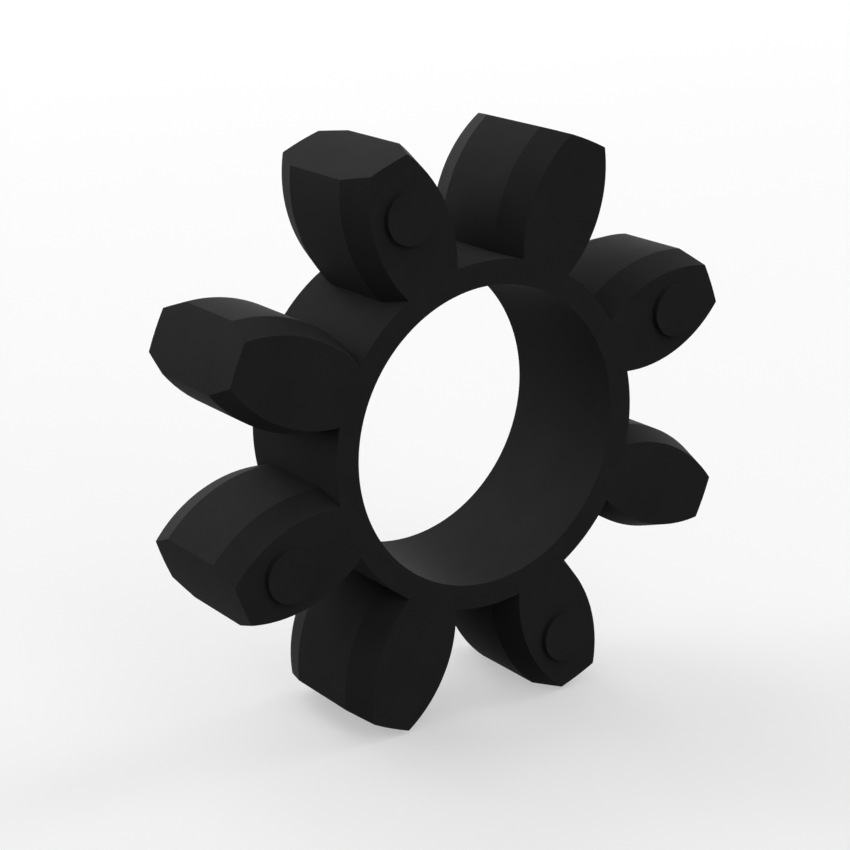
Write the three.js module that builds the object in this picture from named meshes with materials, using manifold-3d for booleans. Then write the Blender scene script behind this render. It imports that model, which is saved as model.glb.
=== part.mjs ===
// Jaw coupling spider: a ring with eight crowned legs, moulded in one piece from hard black elastomer.
// Millimetres. The coupling's axis is Y, the front face looks along -Y, and the spider stands on two legs with
// +Z up. The origin is the centre of the bore at half the width.

import * as THREE from "three";
import { mergeVertices, toCreasedNormals } from "three/addons/utils/BufferGeometryUtils.js";
import Module from "manifold-3d";

const wasm = await Module();
wasm.setup();

// Ring
const WIDTH = 14;
const BORE_RADIUS = 13.75;
const RING_WALL = 2.25;

// Legs: thickness is measured across a leg, at the ring and at the tip, and the crown is how far a flank bulges
const LEG_COUNT = 8;
const TIP_RADIUS = 27.5;
const LEG_ROOT_THICKNESS = 7.4;
const LEG_TIP_THICKNESS = 6.45;
const FLANK_CROWN = 1.37;

// Long chamfers that thin each leg towards both faces
const CHAMFER_LENGTH = 3;
const CHAMFER_INSET = 1;

// Spacer pips, on the front and the rear face by turns
const PIP_RADIUS = 2.4;
const PIP_HEIGHT = 0.6;
const TIP_TO_PIP = 5;

// Facets of the round stretches
const RING_FACETS_PER_LEG = 24;
const FLANK_FACETS = 30;
const PIP_FACETS = 48;
const CREASE_ANGLE = 0.2;

const RING_OUTER_RADIUS = BORE_RADIUS + RING_WALL;
const LEG_PITCH = (2 * Math.PI) / LEG_COUNT;
const FIRST_LEG_ANGLE = (LEG_PITCH - Math.PI) / 2;

// A closed geometry as a solid that can be joined and cut.
function solid(geometry) {
  const bare = geometry.clone();
  bare.deleteAttribute("normal");
  bare.deleteAttribute("uv");
  const merged = mergeVertices(bare);
  return new wasm.Manifold(new wasm.Mesh({
    numProp: 3,
    vertProperties: new Float32Array(merged.attributes.position.array),
    triVerts: new Uint32Array(merged.index.array),
  }));
}

// A solid as a geometry, smooth over the round stretches and creased at the edges.
function geometryOf(body) {
  const mesh = body.getMesh();
  const geometry = new THREE.BufferGeometry();
  geometry.setAttribute("position", new THREE.BufferAttribute(mesh.vertProperties, 3));
  geometry.setIndex(new THREE.BufferAttribute(mesh.triVerts, 1));
  return toCreasedNormals(geometry, CREASE_ANGLE);
}

// A round disc about the coupling's axis.
function ringDisc(radius, length) {
  return new THREE.CylinderGeometry(radius, radius, length, LEG_COUNT * RING_FACETS_PER_LEG);
}

// A corner of a leg's outline, on a circle about the coupling's axis and half a thickness off the leg's own axis.
function corner(circleRadius, thickness) {
  const half = thickness / 2;
  return new THREE.Vector2(Math.sqrt(circleRadius * circleRadius - half * half), half);
}

// The outline of a leg along +X, with its flanks drawn in by an inset. Each flank is one arc through the root
// corner and the tip corner. It runs on past both, so that the outline ends inside the ring and beyond the tip.
function legOutline(inset) {
  const root = corner(RING_OUTER_RADIUS, LEG_ROOT_THICKNESS);
  const tip = corner(TIP_RADIUS, LEG_TIP_THICKNESS);
  const chord = tip.clone().sub(root);
  const halfChord = chord.length() / 2;
  const radius = (halfChord * halfChord + FLANK_CROWN * FLANK_CROWN) / (2 * FLANK_CROWN);
  const outward = new THREE.Vector2(-chord.y, chord.x).normalize();
  const centre = root.clone().add(tip).divideScalar(2).addScaledVector(outward, FLANK_CROWN - radius);
  const runOn = CHAMFER_INSET + RING_WALL / 2;
  const spread = Math.asin(halfChord / radius) + runOn / radius;
  const tipEnd = outward.angle() - spread;
  const rootEnd = outward.angle() + spread;
  const lower = new THREE.ArcCurve(centre.x, -centre.y, radius - inset, -rootEnd, -tipEnd);
  const upper = new THREE.ArcCurve(centre.x, centre.y, radius - inset, tipEnd, rootEnd);
  return [...lower.getPoints(FLANK_FACETS), ...upper.getPoints(FLANK_FACETS)];
}

// A closed body through outlines of as many points each. Each outline lies in the XZ plane at its own y.
function loft(outlines, depths) {
  const count = outlines[0].length;
  const positions = outlines.flatMap((outline, i) => outline.flatMap((point) => [point.x, depths[i], point.y]));
  const cap = THREE.ShapeUtils.triangulateShape(outlines[0], []);
  const last = (outlines.length - 1) * count;
  const faces = cap.flatMap(([a, b, c]) => [a, b, c, last + a, last + c, last + b]);
  for (let start = 0; start < last; start += count) {
    for (let k = 0; k < count; k += 1) {
      const a = start + k;
      const b = start + ((k + 1) % count);
      faces.push(a, a + count, b + count, a, b + count, b);
    }
  }
  const geometry = new THREE.BufferGeometry();
  geometry.setAttribute("position", new THREE.Float32BufferAttribute(positions, 3));
  geometry.setIndex(faces);
  return geometry;
}

// A leg along +X over the full width: full thickness in the middle, and chamfered flanks towards both faces.
function leg() {
  const face = legOutline(CHAMFER_INSET);
  const middle = legOutline(0);
  const outer = WIDTH / 2;
  const inner = outer - CHAMFER_LENGTH;
  return loft([face, middle, middle, face], [-outer, -inner, inner, outer]);
}

// A pip on the leg along +X, half of it sunk in the leg. Side is -1 on the front face and 1 on the rear face.
function pip(side) {
  const geometry = new THREE.CylinderGeometry(PIP_RADIUS, PIP_RADIUS, 2 * PIP_HEIGHT, PIP_FACETS);
  geometry.translate(TIP_RADIUS - TIP_TO_PIP, (side * WIDTH) / 2, 0);
  return geometry;
}

// The whole moulding: the legs end on the tip cylinder, and the bore goes through last.
function spider() {
  const tipCylinder = solid(ringDisc(TIP_RADIUS, WIDTH));
  const bore = solid(ringDisc(BORE_RADIUS, 2 * WIDTH));
  let body = solid(ringDisc(RING_OUTER_RADIUS, WIDTH));
  for (let i = 0; i < LEG_COUNT; i += 1) {
    const turn = -(FIRST_LEG_ANGLE + i * LEG_PITCH);
    const side = i % 2 === 0 ? -1 : 1;
    body = body.add(solid(leg().rotateY(turn)).intersect(tipCylinder));
    body = body.add(solid(pip(side).rotateY(turn)));
  }
  return geometryOf(body.subtract(bore));
}

const elastomer = new THREE.MeshStandardMaterial({ color: 0x1e1e1e, roughness: 0.55, metalness: 0 });
elastomer.name = "elastomer";

const mesh = new THREE.Mesh(spider(), elastomer);
mesh.name = "spider";

const part = new THREE.Group();
part.name = "jaw_coupling_spider";
part.add(mesh);

export default part;
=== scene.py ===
"""A black elastomer jaw coupling spider, standing on two of its legs on a white studio floor."""
import math

import bpy
from mathutils import Matrix, Vector


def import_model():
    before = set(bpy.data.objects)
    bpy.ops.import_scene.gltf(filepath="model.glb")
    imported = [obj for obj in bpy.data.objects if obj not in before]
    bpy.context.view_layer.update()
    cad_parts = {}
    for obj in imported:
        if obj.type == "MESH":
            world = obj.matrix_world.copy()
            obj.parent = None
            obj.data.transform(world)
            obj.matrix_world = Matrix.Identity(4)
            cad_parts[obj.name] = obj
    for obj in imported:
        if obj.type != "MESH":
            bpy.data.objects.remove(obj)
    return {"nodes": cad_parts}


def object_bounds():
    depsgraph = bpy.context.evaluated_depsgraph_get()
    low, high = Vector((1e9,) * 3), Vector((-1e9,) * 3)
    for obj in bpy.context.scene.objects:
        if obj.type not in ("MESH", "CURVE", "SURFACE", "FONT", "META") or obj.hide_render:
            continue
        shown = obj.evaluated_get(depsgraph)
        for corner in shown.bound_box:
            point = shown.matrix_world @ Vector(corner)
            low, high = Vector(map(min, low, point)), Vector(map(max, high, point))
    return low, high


MM = 0.001

# Camera, fitted to the photograph's view: angles in degrees, sensor and lens in millimetres
CAMERA_PLACE = Vector((-113.23, -161.96, 59.97)) * MM
CAMERA_HEADING = 34.455
CAMERA_PITCH = -17.061
SENSOR_WIDTH = 36.0
LENS = 96.257
NEAREST = 0.01
FARTHEST = 20.0

# Elastomer: the least and the most of its paleness and of its roughness, and how much it shines
BLACK = (0.0235, 0.0265)
ROUGHNESS = (0.56, 0.66)
SHINE = 0.01

# Skin of the moulding: clouds and grains per metre, how finely each breaks up, and the height of a grain
CLOUDS = 260
CLOUD_DETAIL = 3
GRAINS = 5200
GRAIN_DETAIL = 2
GRAIN_HEIGHT = 0.002 * MM

# Levels of a noise pattern between which nearly all of it lies
NOISE_LOW = 0.3
NOISE_HIGH = 0.7

# Floor: its colour and the white added to it where it is seen, and its colour in the light it gives the part
FLOOR_SIZE = 6.0
FLOOR_SHOWN = 0.57
FLOOR_GLOW = 0.4
FLOOR_BOUNCE = 0.05

# World: how white it shows, and how much light it gives
WORLD_SHOWN = 1.0
WORLD_LIGHT = 0.36

# Soft boxes aimed at the part: degrees round it from its front, degrees above the level, and watts
LAMP_DISTANCE = 2.1
LAMP_SIZE = 1.35
LAMPS = {
    "front_low": (0, 15, 7.5),
    "front_high": (0, 45, 4),
    "right_high": (90, 45, 9.5),
    "back_right_low": (135, 15, 8.5),
    "back_low": (180, 15, 15),
    "back_high": (180, 45, 6),
    "back_left_low": (225, 15, 12.5),
    "back_left_high": (225, 45, 4),
}


def noise(tree, place, scale, detail):
    """A cloudy pattern over the part."""
    node = tree.nodes.new("ShaderNodeTexNoise")
    node.inputs["Scale"].default_value = scale
    node.inputs["Detail"].default_value = detail
    tree.links.new(place, node.inputs["Vector"])
    return node.outputs["Fac"]


def spread(tree, pattern, low, high):
    """A noise pattern stretched to run from low to high."""
    node = tree.nodes.new("ShaderNodeMapRange")
    node.inputs["From Min"].default_value = NOISE_LOW
    node.inputs["From Max"].default_value = NOISE_HIGH
    node.inputs["To Min"].default_value = low
    node.inputs["To Max"].default_value = high
    tree.links.new(pattern, node.inputs["Value"])
    return node.outputs["Result"]


def elastomer():
    """Smooth matte black moulded elastomer with a faintly clouded, finely grained skin."""
    material = bpy.data.materials.new("elastomer")
    material.use_nodes = True
    tree = material.node_tree
    shader = tree.nodes["Principled BSDF"]
    place = tree.nodes.new("ShaderNodeTexCoord").outputs["Object"]
    clouds = noise(tree, place, CLOUDS, CLOUD_DETAIL)
    grains = noise(tree, place, GRAINS, GRAIN_DETAIL)
    tree.links.new(spread(tree, clouds, *BLACK), shader.inputs["Base Color"])
    tree.links.new(spread(tree, grains, *ROUGHNESS), shader.inputs["Roughness"])
    bump = tree.nodes.new("ShaderNodeBump")
    bump.inputs["Distance"].default_value = GRAIN_HEIGHT
    tree.links.new(grains, bump.inputs["Height"])
    tree.links.new(bump.outputs["Normal"], shader.inputs["Normal"])
    shader.inputs["Specular IOR Level"].default_value = SHINE
    return material


def as_seen(tree, shown, given):
    """One level where it is seen, also in gloss or through glass, and another for the light it gives."""
    path = tree.nodes.new("ShaderNodeLightPath")
    level = path.outputs["Is Camera Ray"]
    for ray in ("Is Glossy Ray", "Is Transmission Ray"):
        either = tree.nodes.new("ShaderNodeMath")
        either.operation = "MAXIMUM"
        tree.links.new(level, either.inputs[0])
        tree.links.new(path.outputs[ray], either.inputs[1])
        level = either.outputs["Value"]
    pick = tree.nodes.new("ShaderNodeMapRange")
    pick.inputs["To Min"].default_value = given
    pick.inputs["To Max"].default_value = shown
    tree.links.new(level, pick.inputs["Value"])
    return pick.outputs["Result"]


def floor(z):
    """A wide matt floor that shows white and keeps the part's soft shadow."""
    bpy.ops.mesh.primitive_plane_add(size=FLOOR_SIZE, location=(0, 0, z))
    plane = bpy.context.object
    plane.name = "floor"
    material = bpy.data.materials.new("floor")
    material.use_nodes = True
    tree = material.node_tree
    shader = tree.nodes["Principled BSDF"]
    tree.links.new(as_seen(tree, FLOOR_SHOWN, FLOOR_BOUNCE), shader.inputs["Base Color"])
    shader.inputs["Roughness"].default_value = 1.0
    shader.inputs["Specular IOR Level"].default_value = 0.0
    shader.inputs["Emission Color"].default_value = (1, 1, 1, 1)
    tree.links.new(as_seen(tree, FLOOR_GLOW, 0), shader.inputs["Emission Strength"])
    plane.data.materials.append(material)


def world():
    """An even surround that shows white and adds a soft fill light."""
    made = bpy.data.worlds.new("studio")
    bpy.context.scene.world = made
    made.use_nodes = True
    tree = made.node_tree
    background = tree.nodes["Background"]
    background.inputs["Color"].default_value = (1, 1, 1, 1)
    tree.links.new(as_seen(tree, WORLD_SHOWN, WORLD_LIGHT), background.inputs["Strength"])


def lamp(name, heading, height, power):
    """A round soft box aimed at the part."""
    data = bpy.data.lights.new(name, "AREA")
    data.shape = "DISK"
    data.size = LAMP_SIZE
    data.energy = power
    made = bpy.data.objects.new(name, data)
    bpy.context.scene.collection.objects.link(made)
    turn = Matrix.Rotation(math.radians(heading), 3, "Z") @ Matrix.Rotation(math.radians(-height), 3, "X")
    made.location = turn @ Vector((0, -LAMP_DISTANCE, 0))
    made.rotation_euler = (-made.location).to_track_quat("-Z", "Y").to_euler()


def camera():
    """The photograph's view."""
    data = bpy.data.cameras.new("camera")
    data.sensor_width = SENSOR_WIDTH
    data.lens = LENS
    data.clip_start = NEAREST
    data.clip_end = FARTHEST
    made = bpy.data.objects.new("camera", data)
    bpy.context.scene.collection.objects.link(made)
    made.location = CAMERA_PLACE
    made.rotation_euler = (math.radians(90 + CAMERA_PITCH), 0, math.radians(-CAMERA_HEADING))
    bpy.context.scene.camera = made


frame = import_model()
cad_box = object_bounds()
bpy.context.scene.view_settings.view_transform = "Standard"

frame["nodes"]["spider"].material_slots[0].material = elastomer()
floor(cad_box[0].z)
world()
for lamp_name, (heading, height, power) in LAMPS.items():
    lamp(lamp_name, heading, height, power)
camera()
